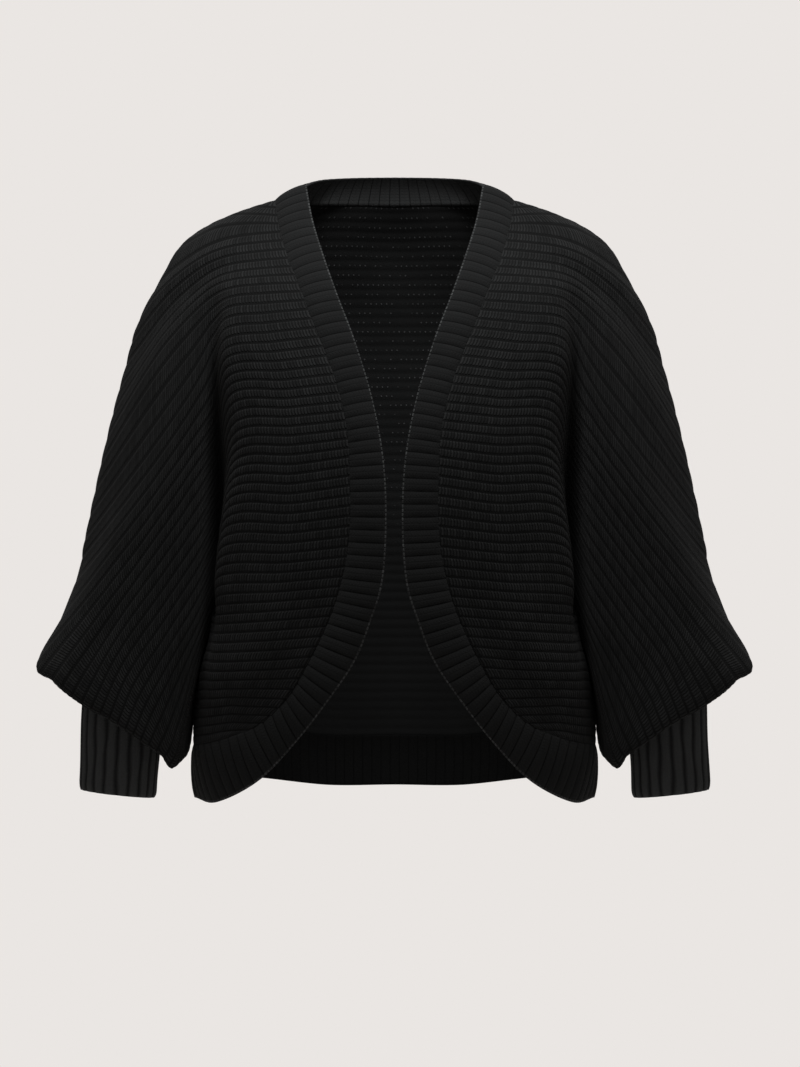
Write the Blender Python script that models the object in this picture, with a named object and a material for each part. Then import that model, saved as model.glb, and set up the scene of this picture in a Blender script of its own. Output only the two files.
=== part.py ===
"""A cape cardigan with batwing sleeves, hollow as worn, in ribbed knit.

The origin is at the level of the shoulders, midway between them. The fronts face -Y and the hem hangs
towards -Z. All sizes are in millimetres and become metres when a mesh is made.
"""

import bmesh
import bpy
import numpy as np

MM = 0.001
WALL = 2.0  # knit between the inner face and the bottom of the grooves
RIB = 1.2  # how far a rib stands out
SEAM_GAP = 0.4  # between pieces that are sewn together
LINE_STEPS = 500  # steps in which the length of a band is measured
SIDE_Y = 5.0  # the seams over the arms, under the arms and down the sides lie in this plane

LAST_RIB = 58  # ribs are counted downwards from the neck
YOKE_RIB = 4  # the first rib of the tables that is clear of the neck
TIP_RIB = 18  # the rib that ends at the outer tip of the sleeve
NOTCH_RIB = 37  # the rib that ends at the inner end of the sleeve
ROWS_PER_RIB = 2
INNER_ROW_STEP = 4
CLOSE_RIBS = ((14, 21), (34, 49))  # the inner face has closer rows here, where the cloth folds sharply
CLOSE_ROW_STEP = 2

CUFF_X, CUFF_WIDTH, CUFF_DEPTH = 300.0, 84.0, 48.0
CUFF_END_OUTER, CUFF_END_INNER = -648.0, -657.0
CUFF_SEAM_OUTER, CUFF_SEAM_INNER = -532.0, -580.0
UNDER_RISE = 6.0  # how far the sleeve's end rises between its fold and the cuff
MOST_FOLDED = 2.5  # the wall grows at most this many times thicker in a fold
OPEN_RIB = 8.0  # ribs closer than this are flatter
FOLD_RIBS = 3  # the fold at the sleeve's end opens out over this many ribs at each side
CUFF_TUCK = 4.0  # the cuff reaches this far up through the end of the sleeve
CUFF_RIBS = 20
CUFF_PULL = 0.96  # how far the edge draws in, as a share of the cuff's size
CUFF_PULLED = 0.07  # the share of the cuff's height that this takes up

NECK_RIB_WIDTH = 10.8  # the band's ribs are narrower behind the neck
BAND_RIB_WIDTH = 13.5
NECK_TO_FRONT = (0.9, 2.0)  # where the one width passes into the other, as a place in band_frame
BAND_GAP = 0.8
BAND_CROWN = 2.5
HEM_RIB_WIDTH = 10.5
HEM_HEIGHT = 54.0
HEM_CROWN = 2.5
HEM_TUCK = 3.0

# Lines drawn down the left front, from the band's seam to the seam over the arm.
# Columns: rib, x, y, z where the line crosses that rib.
BAND_SEAM = [
    (0, 131.5, 4, 1), (4, 124, -26, -38), (7.5, 113, -55, -74), (10, 103, -73, -98), (14, 88, -96, -138),
    (20, 64, -120, -199), (25, 51, -131, -248), (30, 47, -135, -296), (40, 52, -131, -401),
    (45, 67, -127, -453), (50, 93, -121, -507), (53, 114, -113, -541), (55, 131, -104.5, -559),
    (57, 153, -93, -575), (58, 165, -86, -581),
]
CHEST = [
    (4, 148, -34, -41), (7.5, 143, -60, -77), (10, 140, -77, -100), (14, 134, -99, -143), (20, 115, -121, -205),
    (25, 106, -131, -254), (30, 104, -134, -304), (40, 115, -128, -407), (45, 129, -120, -458),
    (50, 150, -107, -511), (58, 184, -72, -587),
]
CREST = [
    (4, 172, -40, -45), (7.5, 174, -62, -81), (10, 176, -78, -104), (16, 178, -98, -170), (21, 171, -106, -218),
    (25, 166, -110, -258), (34, 177, -100, -349), (40, 188, -86, -413), (45, 189, -78, -463),
    (50, 196, -72, -514), (58, 200, -56, -592),
]
VALLEY = [
    (4, 188, -38, -49), (7.5, 191, -56, -86), (10, 193, -66, -110), (14, 194, -70, -170), (17, 193, -60, -228),
    (20, 192, -47, -269), (25, 190, -30, -338), (30, 191, -22, -405), (35, 193, -26, -440), (37, 192, -38, -440),
    (40, 191, -50, -445), (44, 191, -57, -456), (46, 195, -58, -474), (50, 204, -54, -514), (54, 207, -50, -555),
    (58, 209, -44, -594),
]
SLEEVE_FRONT = [
    (4, 206, -34, -56), (7.5, 208, -50, -96), (10, 211, -60, -124), (14, 211, -74, -204), (17, 209, -76, -256),
    (20, 209, -76, -303), (25, 209, -75, -385), (30, 210, -68, -462), (34, 212, -54, -504), (35, 211, -46, -506),
    (36, 207, -32, -491), (37, 202, -20, -472), (40, 199, -18, -462), (42, 198, -26, -459), (44, 197, -34, -456),
    (46, 199, -41, -474), (50, 210, -40, -516), (54, 213, -36, -556), (58, 215, -31, -595.5),
]
SLEEVE_RIDGE = [
    (4, 234, -22, -73), (7.5, 242, -36, -125), (10, 249, -50, -164), (14, 246, -72, -256), (18, 245, -80, -325),
    (20, 245, -80, -357), (25, 245, -78, -440), (30, 241, -74, -522), (35, 226, -46, -575), (37, 217, -20, -530),
    (40, 211, -6, -486), (42, 207, -10, -468), (44, 200, -18, -455), (46, 201, -24, -474), (50, 211, -23, -516),
    (54, 216, -21, -556), (58, 219, -19, -597),
]
SLEEVE_SIDE = [
    (4, 252, -9, -87), (7.5, 273, -22, -163), (10, 286, -34, -217), (14, 297, -50, -322), (18, 318, -60, -420),
    (20, 312, -68, -447), (25, 292, -76, -508), (30, 260, -75, -560), (35, 233, -44, -606), (37, 224, -12, -580),
    (40, 218, -2, -506), (42, 212, -3, -473), (44, 203, -7, -453), (46, 202, -9, -472), (50, 212, -9, -517),
    (54, 217, -8, -557), (58, 220, -7, -598),
]
OUTER_SEAM = [
    (0, 134.5, 5, 0), (1, 175, 5, -16), (2, 208, 5, -33), (3, 240, 5, -60), (4, 265, 5, -100),
    (7.5, 299, 5, -194), (10, 317, 5, -264), (14, 341, 5, -374), (16, 351, 5, -420), (17, 368, 5, -462),
    (18, 392, 5, -504), (20, 371, -38, -526), (23, 337, -62, -550), (26.5, 302, -72, -568), (30, 273, -72, -588),
    (33, 250, -60, -606), (35, 239, -40, -620), (36, 231, -16, -610), (37, 226, 5, -591), (38.5, 225, 5, -550),
    (40, 221, 5, -515), (42, 215, 5, -476), (44, 206, 5, -452), (46, 202, 5, -470), (50, 212, 5, -517),
    (54, 217, 5, -557), (58, 221, 5, -598),
]
FRONT_LINES = [BAND_SEAM, CHEST, CREST, VALLEY, SLEEVE_FRONT, SLEEVE_RIDGE, SLEEVE_SIDE, OUTER_SEAM]
FRONT_SPANS = [1, 1, 1, 1, 1, 1, 2]  # columns of faces between one line and the next

# The back has two lines of its own. Its others are the front's, turned over to the far side.
CENTRE_BACK = [
    (0, 0, 85, 8), (4, 0, 106, -34), (10, 0, 119, -98), (25, 0, 126, -256), (40, 0, 128, -413), (58, 0, 135, -601),
]
SHOULDER_BLADE = [
    (0, 50, 79, 8), (4, 72, 92, -34), (10, 70, 114, -98), (25, 58, 128, -256), (40, 60, 130, -412),
    (58, 75, 130, -601),
]
BACK_NECK = [(88, 59, 6), (110, 40, 5), (120, 28, 4), (127, 18, 3), (131, 11, 2), (132, 7.5, 1.2)]

# How far back the back lies at its first ribs, where it is fuller than the front.
# Columns: rib, then y on each line from the chest's to the sleeve's side.
BACK_YOKE = [(4, 72, 66, 60, 51, 35, 20), (7.5, 90, 82, 74, 66, 48, 33), (10, 99, 92, 79, 73, 60, 44)]
BACK_SPANS = [2, 1, 1, 1, 1, 1, 1, 2]

# The front band, from the middle of the back of the neck to the left side seam.
# Columns: the rib and line of the panel where the band is sewn on, then x, y, z of its free edge.
NECK_BAND = [
    (0, 0, 0, 70, 35), (0, 1, 40, 66, 34), (0, 2, 69, 53, 31), (0, 3, 85, 33, 26.3), (0, 5, 94, 16, 20.5),
    (0, 6.6, 97, 5, 17),
]
FRONT_BAND = [
    (0, 0, 97, 5, 17), (3.6, 0, 89, -26, -24), (8, 0, 76, -62, -67), (12.3, 0, 60, -90, -113),
    (17, 0, 42, -110, -161), (23.2, 0, 23, -126, -224), (29.6, 0, 11, -136, -289), (35.4, 0, 8, -137, -353),
    (41, 0, 12, -134, -416), (44.4, 0, 24, -131, -457), (47.9, 0, 41, -126, -500), (50.8, 0, 67, -121, -539),
    (54, 0, 103, -108, -586), (58, 0, 145, -86, -630), (58, 3, 192, -45, -657), (58, 7, 220, 5, -657),
]

CLOTH_COLOUR = (0.011, 0.011, 0.011, 1.0)
CLOTH_ROUGHNESS = 0.9


def clear_scene():
    for ob in list(bpy.data.objects):
        bpy.data.objects.remove(ob, do_unlink=True)


def through(keys, points, at):
    """The place at each value of at on a smooth curve through points, which lie at the values in keys."""
    keys = np.asarray(keys, float)
    points = np.asarray(points, float)
    at = np.asarray(at, float)
    slopes = np.diff(points, axis=0) / np.diff(keys)[:, None]
    before, after = np.diff(keys)[:-1, None], np.diff(keys)[1:, None]
    inner = (slopes[:-1] * after + slopes[1:] * before) / (before + after)
    tangents = np.vstack([slopes[:1], inner, slopes[-1:]])
    k = np.clip(np.searchsorted(keys, at, side="right") - 1, 0, len(keys) - 2)
    width = (keys[k + 1] - keys[k])[:, None]
    t = (at - keys[k])[:, None] / width
    start = (1 + 2 * t) * (1 - t) ** 2 * points[k] + t * (1 - t) ** 2 * width * tangents[k]
    end = t * t * (3 - 2 * t) * points[k + 1] + t * t * (t - 1) * width * tangents[k + 1]
    return start + end


def on_line(table, rib):
    table = np.asarray(table, float)
    return through(table[:, 0], table[:, 1:], [rib])[0]


def turned_over(point):
    return np.array([point[0], 2 * SIDE_Y - point[1], point[2]])


def between(start, end, share):
    return np.array(start) + (np.array(end) - start) * share


def shoulder_bow(rib):
    """How far the seam over the shoulder stands out from a straight line between the neck and the yoke."""
    if rib >= YOKE_RIB:
        return np.zeros(3)
    ends = on_line(OUTER_SEAM, 0), on_line(OUTER_SEAM, YOKE_RIB)
    return on_line(OUTER_SEAM, rib) - between(*ends, rib / YOKE_RIB)


def unit(v):
    return v / max(np.linalg.norm(v), 1e-12)


def curve(points, at):
    """The place at each value of at on a smooth curve through points, which are numbered from 0."""
    points = np.array(points)
    steps = np.maximum(np.linalg.norm(np.diff(points, axis=0), axis=1), 0.1) ** 0.5
    keys = np.concatenate([[0], np.cumsum(steps)])
    return through(keys, points, np.interp(at, np.arange(len(keys)), keys))


class Panel:
    """A front or the back, as a surface crossed by ribs and by the lines drawn down the cloth."""

    def __init__(self, back):
        self.back = back
        self.lines = 9 if back else 8
        self.spans = BACK_SPANS if back else FRONT_SPANS

    def stations(self, rib):
        """Where each line crosses one rib, with the sleeve's turned-under end where the rib has one."""
        places = []
        for number, table in enumerate(FRONT_LINES):
            if number in (0, 7):
                places.append(on_line(table, rib))
                continue
            if self.back:
                yoke = [(r, x, 2 * SIDE_Y - full[number], z) for full, (r, x, _, z) in zip(BACK_YOKE, table)]
                table = [(0, *turned_over(BACK_NECK[number - 1]))] + yoke + table[len(yoke) :]
            else:
                table = [(0, *between(BAND_SEAM[0][1:], OUTER_SEAM[0][1:], number / 7))] + table
            places.append(on_line(table, rib) + shoulder_bow(rib) * number / 7)
        if self.back:
            places = [turned_over(p) for p in places[1:]]
            places = [on_line(CENTRE_BACK, rib), on_line(SHOULDER_BLADE, rib)] + places
        if TIP_RIB <= rib <= NOTCH_RIB:
            seam = self.cuff_seam(rib)
            places += [(places[-1] + seam) / 2 + (0, 0, UNDER_RISE), seam]
        return np.array(places)

    def cuff_seam(self, rib):
        share = (rib - TIP_RIB) / (NOTCH_RIB - TIP_RIB)
        side = 1 if self.back else -1
        angle = np.pi * share
        x = CUFF_X + (CUFF_WIDTH / 2 + RIB + SEAM_GAP) * np.cos(angle)
        y = SIDE_Y + side * (CUFF_DEPTH / 2 + RIB + SEAM_GAP) * np.sin(angle)
        return np.array([x, y, CUFF_SEAM_OUTER + (CUFF_SEAM_INNER - CUFF_SEAM_OUTER) * share])

    def row(self, rib, columns):
        """Places along one rib. A column is a line's number, or a share of the way to the next line."""
        places = self.stations(rib)
        columns = np.asarray(columns, float)
        side, over = self.lines - 2, turned_over(places[self.lines - 2])
        first = places[1] * (-1, 1, 1) if self.back else 2 * places[0] - places[1]
        if len(places) == self.lines:
            return curve([first, *places, over], columns + 1)
        fold = np.clip(min(rib - TIP_RIB, NOTCH_RIB - rib) / FOLD_RIBS, 0, 1)
        beyond = over + (places[self.lines] - over) * fold
        before = turned_over(places[self.lines])
        before = before + (places[side] - before) * fold
        upper = curve([first, *places[: self.lines], beyond], columns + 1)
        under = curve([before, *places[self.lines - 1 :]], columns - side)
        return np.where(columns[:, None] <= self.lines - 1, upper, under)

    def surface(self, rib, columns):
        """Places along one rib, and the direction out of the cloth at each."""
        step = 0.05  # slopes are measured over this share of a rib and of a column
        columns = np.asarray(columns, float)
        last = self.lines + 1 if TIP_RIB <= rib <= NOTCH_RIB else self.lines - 1
        low, high = self.rib_span(rib, columns)
        near = max(rib - step, low)
        far = min(rib + step, high)
        across = self.row(rib, np.minimum(columns + step, last + (last < self.lines) * step))
        across = across - self.row(rib, np.maximum(columns - step, -step if self.back else 0))
        down = self.row(far, columns) - self.row(near, columns)
        out = np.cross(across, down) if self.back else np.cross(down, across)
        out /= np.linalg.norm(out, axis=1)[:, None]
        if last > self.lines:
            out[columns >= last] = (0, 0, -1)
        if rib == LAST_RIB:
            out[:, 2] = 0
        sewn = columns >= self.lines - 1 if rib in (TIP_RIB, NOTCH_RIB) else columns == self.lines - 1
        if not TIP_RIB < rib < NOTCH_RIB:
            out[sewn, 1] = 0
        out /= np.linalg.norm(out, axis=1)[:, None]
        return self.row(rib, columns), out

    def rib_span(self, rib, columns):
        if TIP_RIB <= rib <= NOTCH_RIB:
            return TIP_RIB, NOTCH_RIB
        return (0, TIP_RIB - 1e-6) if rib < TIP_RIB else (NOTCH_RIB + 1e-6, LAST_RIB)

    def edge(self, rib, line):
        """A place on the straight stretch between two columns of one rib, and the direction out there."""
        columns = np.array(self.columns())
        places, out = self.surface(rib, columns)
        place = [np.interp(line, columns, places[:, i]) for i in range(3)]
        return np.array(place), unit(np.array([np.interp(line, columns, out[:, i]) for i in range(3)]))

    def columns(self):
        result = [0.0]
        for line, spans in enumerate(self.spans):
            result += [line + (i + 1) / spans for i in range(spans)]
        return result


def own_side(place, back):
    """The place, kept clear of the other panel where the two are sewn together."""
    x, y, z = place
    return np.array([x, max(y, SIDE_Y + SEAM_GAP / 2) if back else min(y, SIDE_Y - SEAM_GAP / 2), z])


def inward(base, back, i, j):
    """From a corner of the outer face to the inner face, WALL away from each facet that meets there."""
    here = base[i, j]
    facets = []
    for di in (-2, 2):
        for dj in (-1, 1):
            if (i + di, j) in base and (i, j + dj) in base:
                facet = unit(np.cross(base[i + di, j] - here, base[i, j + dj] - here))
                facets.append(facet * np.sign(di * dj) * (-1 if back else 1))
    move = np.linalg.lstsq(np.array(facets), np.full(len(facets), -WALL), rcond=0.2)[0]
    length = np.linalg.norm(move)
    return move * min(1, MOST_FOLDED * WALL / length)


def squeeze(base, i, j):
    """How much of its height a rib keeps, which is less where the ribs are pressed together."""
    above, below = base.get((i - 2, j), base[i, j]), base.get((i + 2, j), base[i, j])
    left, right = base.get((i, j - 1), base[i, j]), base.get((i, j + 1), base[i, j])
    down, across = below - above, unit(right - left)
    return min(1, np.linalg.norm(down - across * np.dot(down, across)) / (2 * OPEN_RIB))


def rib_height(rib):
    return RIB * (0.5 - 0.5 * np.cos(2 * np.pi * rib))


def new_object(name, bm, collection):
    bmesh.ops.recalc_face_normals(bm, faces=bm.faces)
    mesh = bpy.data.meshes.new(name)
    bm.to_mesh(mesh)
    bm.free()
    mesh.shade_flat()
    ob = bpy.data.objects.new(name, mesh)
    collection.objects.link(ob)
    mesh.materials.append(cloth(name))
    return ob


def cloth(name):
    material = bpy.data.materials.new(name + "_knit")
    material.use_nodes = True
    shader = material.node_tree.nodes["Principled BSDF"]
    shader.inputs["Base Color"].default_value = CLOTH_COLOUR
    shader.inputs["Roughness"].default_value = CLOTH_ROUGHNESS
    shader.inputs["Metallic"].default_value = 0.0
    return material


def make_wall(name, outer, inner, border, collection):
    """A closed wall from two grids of places. Border lists the places round its edge, in order."""
    bm = bmesh.new()
    rows = sorted({i for i, j in outer})
    inner_rows = sorted({i for i, j in inner})
    front = {key: bm.verts.new(place * MM) for key, place in outer.items()}
    rear = {key: bm.verts.new(place * MM) for key, place in inner.items()}

    def patches(verts, row_numbers):
        following = dict(zip(row_numbers, row_numbers[1:]))
        for (i, j), vert in verts.items():
            k = following.get(i)
            if k is None or not {(i, j + 1), (k, j), (k, j + 1)} <= verts.keys():
                continue
            a, b, c, d = vert, verts[i, j + 1], verts[k, j + 1], verts[k, j]
            if (a.co - c.co).length <= (b.co - d.co).length:
                bm.faces.new((a, b, c))
                bm.faces.new((a, c, d))
            else:
                bm.faces.new((a, b, d))
                bm.faces.new((b, c, d))

    patches(front, rows)
    patches(rear, inner_rows)
    marks = [n for n, key in enumerate(border) if key in rear]
    for start, end in zip(marks, marks[1:] + [marks[0] + len(border)]):
        middle = (start + end) // 2
        near, far = rear[border[start]], rear[border[end % len(border)]]
        for n in range(start, end):
            a, b = front[border[n % len(border)]], front[border[(n + 1) % len(border)]]
            if n == middle:
                bm.faces.new((a, near, far))
                bm.faces.new((a, far, b))
            else:
                bm.faces.new((a, near if n < middle else far, b))
    return new_object(name, bm, collection)


def make_panel(name, panel, collection, side=1):
    """A front, or the whole back, whose two halves are alike."""
    ribs = [n / ROWS_PER_RIB for n in range(LAST_RIB * ROWS_PER_RIB + 1)]
    last = len(ribs) - 1
    tip, notch = TIP_RIB * ROWS_PER_RIB, NOTCH_RIB * ROWS_PER_RIB
    columns = panel.columns()
    edge = len(columns) - 1
    under = [panel.lines - 0.5, panel.lines, panel.lines + 0.5, panel.lines + 1]
    inner_rows = set(range(0, last, INNER_ROW_STEP)) | {tip, notch, last}
    for start, end in CLOSE_RIBS:
        inner_rows |= set(range(start * ROWS_PER_RIB, end * ROWS_PER_RIB, CLOSE_ROW_STEP))
    base, outs = {}, {}
    for i, rib in enumerate(ribs):
        across = columns + under if tip <= i <= notch else columns
        for j, (place, out) in enumerate(zip(*panel.surface(rib, across))):
            base[i, j], outs[i, j] = place, out
    outer, inner = {}, {}
    for (i, j), place in base.items():
        keep = 0 if j == edge + len(under) else 1
        raised = place + outs[i, j] * rib_height(ribs[i]) * keep * squeeze(base, i, j)
        raised = own_side(raised, panel.back)
        sewn = (i in (0, last)) or (j in (0, edge) and not tip < i < notch) or (i in (tip, notch) and j > edge)
        if sewn or j == edge + len(under):
            lower = place - outs[i, j] * WALL
        else:
            lower = place + inward(base, panel.back, i, j)
        for half in (1, -1) if panel.back else (side,):
            mirror = np.array([half, 1, 1])
            key = (i, j * half if panel.back else j)
            outer[key] = raised * mirror
            if i in inner_rows:
                inner[key] = own_side(lower, panel.back) * mirror
    end = edge + len(under)
    right = [(i, edge) for i in range(1, tip)]
    right += [(tip, j) for j in range(edge, end + 1)]
    right += [(i, end) for i in range(tip + 1, notch + 1)]
    right += [(notch, j) for j in range(end - 1, edge - 1, -1)]
    right += [(i, edge) for i in range(notch + 1, last)]
    if panel.back:
        left = [(i, -j) for i, j in reversed(right)]
        border = [(0, j) for j in range(-edge, edge + 1)] + right
        border += [(last, j) for j in range(edge, -edge - 1, -1)] + left
    else:
        border = [(0, j) for j in range(edge + 1)] + right
        border += [(last, j) for j in range(edge, -1, -1)] + [(i, 0) for i in range(last - 1, 0, -1)]
    return make_wall(name, outer, inner, border, collection)


def band_frame(front, back, place):
    """The seam, the direction out of the cloth there and the free edge, at a place from 0 at the middle of
    the back of the neck to 1 at the neck's side, and on to 1 + the number of stretches down the front."""
    neck = np.array(NECK_BAND, float)
    down = np.array(FRONT_BAND, float)
    if place < 1:
        row = through(np.arange(len(neck)), neck, [place * (len(neck) - 1)])[0]
        panel, rib, line = back, 0.0, min(max(row[1], 0), 7)
    else:
        row = through(np.arange(len(down)), down, [place - 1])[0]
        panel, rib, line = front, min(max(row[0], 0), LAST_RIB), min(max(row[1], 0), 7)
    if place < 1 or rib >= LAST_RIB:
        return *panel.edge(rib, line), row[2:]
    seam, out = panel.surface(rib, [line])
    return seam[0], out[0], row[2:]


def band_places(front, back):
    """Places along the middle of the front band, half a rib apart."""
    tries = np.linspace(0, len(FRONT_BAND), LINE_STEPS)
    middles = np.array([(f[0] + f[2]) / 2 for f in (band_frame(front, back, t) for t in tries)])
    steps = np.linalg.norm(np.diff(middles, axis=0), axis=1)
    widths = np.interp(tries[1:], NECK_TO_FRONT, (NECK_RIB_WIDTH, BAND_RIB_WIDTH))
    counted = np.concatenate([[0], np.cumsum(steps / widths)])
    return np.interp(np.linspace(0, counted[-1], 2 * round(counted[-1]) + 1), counted, tries)


def make_front_band(name, front, back, collection):
    places = band_places(front, back)
    last = len(places) - 1
    frames = [band_frame(front, back, p) for p in places]
    shares = (0, 0.5, 1)
    seams = np.array([frame[0] for frame in frames])
    base = []
    for i, (seam, out, edge) in enumerate(frames):
        along = seams[min(i + 1, last)] - (seams[i - 1] if i else seams[1] * (-1, 1, 1))
        across = np.cross(along, out)
        across = unit(across) * np.sign(np.dot(across, edge - seam))
        start = seam + across * BAND_GAP
        base.append([start + (edge - start) * w for w in shares])
    base = np.array(base)
    base[-1, :, 1] = SIDE_Y - SEAM_GAP / 2
    outs = []
    for i in range(last + 1):
        before = base[i - 1] if i else base[1] * (-1, 1, 1)
        along = base[min(i + 1, last)] - before
        across = base[i, -1] - base[i, 0]
        out = np.array([unit(np.cross(a, across)) for a in along])
        out *= np.sign(np.sum(out * frames[i][1], axis=1))[:, None]
        out[0] = frames[i][1]
        if i == last:
            out = np.array([unit(v * (1, 0, 1)) for v in out])
        outs.append(out)
    outer, inner = {}, {}
    for i in range(last + 1):
        height = RIB if i % 2 else 0
        for j, w in enumerate(shares):
            place = base[i, j] + outs[i][j] * BAND_CROWN * 4 * w * (1 - w)
            for half in (1, -1):
                mirror = np.array([half, 1, 1])
                outer[half * i, j] = (place + outs[i][j] * height) * mirror
                if i % 4 == 0 or i == last:
                    inner[half * i, j] = (place - outs[i][j] * WALL) * mirror
    width = len(shares) - 1
    border = [(i, 0) for i in range(-last, last + 1)] + [(last, j) for j in range(1, width + 1)]
    border += [(i, width) for i in range(last - 1, -last - 1, -1)] + [(-last, j) for j in range(width - 1, 0, -1)]
    return make_wall(name, outer, inner, border, collection)


def make_hem_band(name, back, collection):
    lines = np.linspace(0, back.lines - 1, LINE_STEPS)
    seam, out = back.surface(LAST_RIB, lines)
    along = np.concatenate([[0], np.cumsum(np.linalg.norm(np.diff(seam, axis=0), axis=1))])
    ribs = round(along[-1] / HEM_RIB_WIDTH)
    last = 2 * ribs
    at = np.interp(np.linspace(0, along[-1], last + 1), along, lines)
    seam, out = (np.array(v) for v in zip(*(back.edge(LAST_RIB, line) for line in at)))
    seam[:, 1] = np.maximum(seam[:, 1], SIDE_Y + SEAM_GAP / 2)
    outer, inner = {}, {}
    shares = (0, 0.5, 1)
    for i in range(last + 1):
        for j, w in enumerate(shares):
            place = seam[i] - np.array([0, 0, SEAM_GAP + HEM_HEIGHT * w])
            place = place + out[i] * (HEM_CROWN * 4 * w * (1 - w) - HEM_TUCK * w * w)
            height = RIB if i % 2 else 0
            for half in (1, -1):
                mirror = np.array([half, 1, 1])
                outer[half * i, j] = (place + out[i] * height) * mirror
                if i % 4 == 0 or i == last:
                    inner[half * i, j] = (place - out[i] * WALL) * mirror
    width = len(shares) - 1
    border = [(i, 0) for i in range(-last, last + 1)] + [(last, j) for j in range(1, width + 1)]
    border += [(i, width) for i in range(last - 1, -last - 1, -1)] + [(-last, j) for j in range(width - 1, 0, -1)]
    return make_wall(name, outer, inner, border, collection)


def make_cuff(name, side, collection):
    """A tube of upright ribs, flattened from front to back, that hangs from the end of the sleeve."""
    bm = bmesh.new()
    levels = (0, CUFF_PULLED, 0.5, 1)
    steps = 2 * CUFF_RIBS
    rings = []
    for wall, level_list in ((0, levels), (WALL, (0, 1))):
        for level in level_list:
            draw = 1 if level else CUFF_PULL
            ring = []
            for i in range(steps):
                angle = 2 * np.pi * i / steps
                share = 0.5 - 0.5 * np.cos(angle)
                top = CUFF_SEAM_OUTER + (CUFF_SEAM_INNER - CUFF_SEAM_OUTER) * share + CUFF_TUCK
                height = RIB if i % 2 and not wall and 0 < level < 1 else 0
                grow = height - wall
                x = CUFF_X + (CUFF_WIDTH / 2 * draw + grow) * np.cos(angle)
                y = SIDE_Y + (CUFF_DEPTH / 2 * draw + grow) * np.sin(angle)
                end = CUFF_END_OUTER + (CUFF_END_INNER - CUFF_END_OUTER) * share
                z = end + (top - end) * level
                ring.append(bm.verts.new((side * x * MM, y * MM, z * MM)))
            rings.append(ring)
    outer, inner = rings[: len(levels)], rings[len(levels) :]
    loops = list(reversed(outer)) + inner + [outer[-1]]
    for upper, lower in zip(loops, loops[1:]):
        for i in range(steps):
            k = (i + 1) % steps
            bm.faces.new((upper[i], upper[k], lower[k], lower[i]))
    return new_object(name, bm, collection)


def main():
    clear_scene()
    collection = bpy.data.collections.new("cape_cardigan")
    bpy.context.scene.collection.children.link(collection)
    front, back = Panel(back=False), Panel(back=True)
    make_panel("back", back, collection)
    make_panel("front_left", front, collection)
    make_panel("front_right", front, collection, side=-1)
    make_front_band("front_band", front, back, collection)
    make_hem_band("hem_band", back, collection)
    make_cuff("cuff_left", 1, collection)
    make_cuff("cuff_right", -1, collection)


main()
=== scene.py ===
"""A black cape cardigan in chunky ribbed knit, hollow as worn, in soft studio light.

Lengths in the tables and sizes are in millimetres and become metres when a mesh is made. Each piece lies
in the space of the solid that it replaces, with its ribs, creases and stitches in full.
"""

import bpy
import numpy as np
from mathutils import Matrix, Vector


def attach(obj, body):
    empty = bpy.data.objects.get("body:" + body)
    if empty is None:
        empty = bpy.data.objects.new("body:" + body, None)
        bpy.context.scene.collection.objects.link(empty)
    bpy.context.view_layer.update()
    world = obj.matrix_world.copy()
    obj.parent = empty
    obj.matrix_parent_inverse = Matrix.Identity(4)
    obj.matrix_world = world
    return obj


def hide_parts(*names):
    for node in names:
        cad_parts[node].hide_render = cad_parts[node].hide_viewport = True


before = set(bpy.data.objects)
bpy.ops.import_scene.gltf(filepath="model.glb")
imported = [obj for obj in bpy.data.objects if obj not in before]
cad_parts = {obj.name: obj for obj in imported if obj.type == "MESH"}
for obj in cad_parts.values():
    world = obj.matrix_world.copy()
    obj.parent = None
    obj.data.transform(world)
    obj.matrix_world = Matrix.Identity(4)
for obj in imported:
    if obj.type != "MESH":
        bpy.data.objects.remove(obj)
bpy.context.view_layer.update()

MM = 0.001
TINY = 1e-12  # stands in for a length of nothing where it divides
JUST = 1e-6  # a step to just past a rib
MIRROR = (-1, 1, 1)

# The seams
SIDE_Y = 5.0  # the seams over the arms, under the arms and down the sides lie in this plane
SEAM_GAP = 0.3
SEAM_LEAN = 0.6  # such a seam lies this much further back on the outside and further front on the inside
SEAM_REACH = 10.0  # the cloth leans with its seam over this distance from it

# The body's ribs, counted downwards from the neck
LAST_RIB = 58
YOKE_RIB = 4  # the first rib of the tables that is clear of the neck
TIP_RIB = 18  # the rib that ends at the outer tip of the sleeve
NOTCH_RIB = 37  # the rib that ends at the inner end of the sleeve
FOLD_RIBS = 3  # the fold at the sleeve's end opens out over this many ribs at each side
UNDER_RISE = 6.0  # how far the sleeve's end rises between its fold and the cuff
ROWS = 6  # rows of faces in a rib
UNDER_FACES = 10  # faces between the fold at the sleeve's end and the cuff
KNIT_WALL = 1.8
BODY_RIB = 1.0  # how far a rib stands out
BODY_RIB_POWER = 0.7  # smaller is a broader ridge with a narrower groove
OPEN_RIB = 8.0  # ribs closer than this are flatter
FLATTEST = 0.1  # the share of its height that the flattest rib keeps
SPREAD_RIBS = (8.5, 12.0)  # ribs that open out over these widths sink into two finer ones
FINE_RIB = 0.55  # height of a finer rib, as a share of BODY_RIB
INNER_RIB = 0.7
GROOVE_WAVER = 0.035  # how far a groove wanders, as a share of a rib
HEIGHT_WAVER = 0.12  # how far a rib's height changes along it, as a share
HEIGHT_SHIFT = 3  # its height wavers like the groove this many ribs on

# The unevenness of the ribs: the lengths of two waves over 2 pi, and how far each shifts from rib to rib
LONG_WAVE, LONG_SHIFT = 17.0, 2.4
SHORT_WAVE, SHORT_SHIFT = 7.3, 5.1
SHORT_SHARE = 0.7  # height of the short wave, as a share of the long one's

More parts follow.
